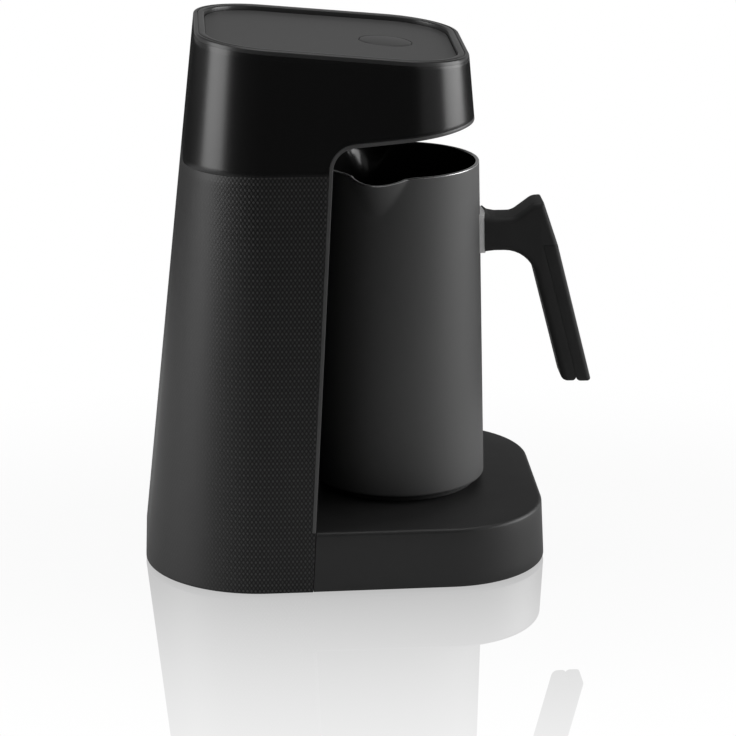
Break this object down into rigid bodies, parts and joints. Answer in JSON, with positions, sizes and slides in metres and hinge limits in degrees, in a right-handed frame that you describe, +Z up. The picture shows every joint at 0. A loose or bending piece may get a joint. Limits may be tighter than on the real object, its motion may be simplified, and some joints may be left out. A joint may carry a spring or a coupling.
{
  "type": "electric turkish coffee maker",
  "caption": "Housing with a base, a column and an overhanging head; a tapered jug with two pouring lips and a long handle lifts off a round connector; one push button on the sloping top.",
  "frame": {"origin": "middle of the footprint box, on the table under the feet", "axes": "+Z up; front, where the jug's handle points, is -Y; +X is to the right seen from the front"},
  "size_m": [0.1364, 0.1806, 0.2139],
  "materials": {
    "base_plastic": "fine-grained matte near-black plastic",
    "cover_plastic": "plain matte black plastic",
    "rubber": "matte black rubber",
    "screw_steel": "plain zinc-coated steel",
    "knurled_plastic": "matte near-black plastic moulded with a fine diamond knurl",
    "smooth_plastic": "smooth satin near-black plastic",
    "trim_plastic": "satin dark grey plastic",
    "bay_plastic": "satin black plastic",
    "rim_plastic": "satin grey plastic with a bright bevel",
    "panel_plastic": "fine matte mid-grey plastic",
    "button_plastic": "satin mid-grey plastic",
    "inner_plastic": "plain moulded plastic",
    "spring_steel": "bright drawn wire",
    "board": "green lacquered circuit board",
    "chip": "matte black moulded package",
    "window": "dark red clear plastic",
    "relay_plastic": "blue moulded case",
    "copper_winding": "taped winding on a laminated core",
    "block_plastic": "green moulded terminal block",
    "ribbon": "grey flat cable",
    "wire_sheath": "silicone-insulated leads",
    "hub_plastic": "heat-resistant black plastic",
    "copper": "plated copper alloy",
    "silicone": "soft red silicone",
    "nylon": "natural nylon",
    "jug_metal": "satin dark grey coating on drawn steel",
    "spreader": "plain aluminium",
    "element": "heat-tinted steel tube",
    "probe_steel": "plain steel",
    "jug_plastic": "heat-resistant matte black plastic",
    "bracket_steel": "brushed stainless steel",
    "handle_plastic": "fine-grained matte near-black plastic"
  },
  "bodies": {
    "housing": {"base_housing": "base_plastic", "bottom_cover": "cover_plastic", "rubber_feet": "rubber", "bottom_screws": "screw_steel", "lower_shell": "knurled_plastic", "upper_shell": "smooth_plastic", "arch_trim": "trim_plastic", "bay_panel": "bay_plastic", "top_rim": "rim_plastic", "top_panel": "panel_plastic", "button_guide": "inner_plastic", "button_spring": "spring_steel", "control_board": "board", "board_chips": "chip", "board_screws": "screw_steel", "tact_switch": "chip", "buzzer": "chip", "sensor_window": "window", "sensor_housing": "inner_plastic", "foam_sensor": "board", "sensor_screws": "screw_steel", "spine_frame": "inner_plastic", "spine_screws": "screw_steel", "panel_screws": "screw_steel", "power_board": "board", "power_board_screws": "screw_steel", "relay": "relay_plastic", "transformer": "copper_winding", "capacitors": "chip", "terminal_block": "block_plastic", "ribbon_cable": "ribbon", "hub_leads": "wire_sheath", "base_connector": "hub_plastic", "hub_contacts": "copper", "hub_seal": "silicone", "hub_screws": "screw_steel", "cord_gland": "rubber", "cord_clamp": "nylon", "clamp_screws": "screw_steel"},
    "jug": {"jug_body": "jug_metal", "heat_plate": "spreader", "heating_element": "element", "thermostat": "probe_steel", "temperature_probe": "probe_steel", "jug_connector": "jug_plastic", "jug_contacts": "copper", "connector_screws": "screw_steel", "jug_base_cover": "jug_plastic", "jug_base_seal": "silicone", "jug_base_screws": "screw_steel", "handle_bracket": "bracket_steel", "handle_shell": "handle_plastic", "handle_cover": "handle_plastic", "handle_screws": "screw_steel"},
    "button": {"power_button": "button_plastic", "button_clip": "spring_steel"}
  },
  "joints": [
    {"name": "jug_lift", "type": "slide", "parent": "housing", "child": "jug", "axis": [0, 0, 1], "range_m": [0, 0.013]},
    {"name": "button_press", "type": "slide", "parent": "housing", "child": "button", "axis": [0, 0.0896, -0.996], "range_m": [0, 0.001], "stiffness_N_per_m": 300, "springref_m": -0.001, "deforming": ["button_spring"]}
  ]
}
